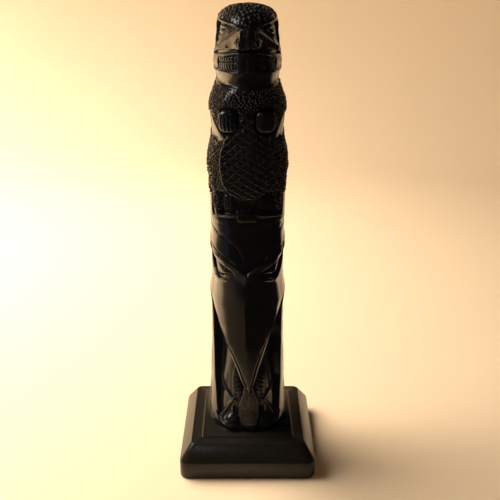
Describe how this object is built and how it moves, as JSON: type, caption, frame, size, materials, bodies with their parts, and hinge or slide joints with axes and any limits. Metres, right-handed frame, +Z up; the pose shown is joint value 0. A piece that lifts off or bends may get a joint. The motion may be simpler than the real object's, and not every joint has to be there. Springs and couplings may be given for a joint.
{
  "type": "totem pole",
  "caption": "Small cast totem pole on a square plinth: a beaver with bared teeth holding its cross-hatched tail, above a bird with a long straight beak.",
  "frame": {"origin": "middle of the plinth's underside, on the surface that the pole stands on", "axes": "+Z up along the pole, -Y is the way that the figures face, +X is their left-hand side, which is the viewer's right"},
  "size_m": [0.06, 0.06, 0.1994],
  "materials": {
    "pole_resin": "polished black cast resin",
    "plinth_resin": "satin black cast resin"
  },
  "bodies": {
    "root": {"totem_pole": "pole_resin", "plinth": "plinth_resin"}
  },
  "joints": []
}
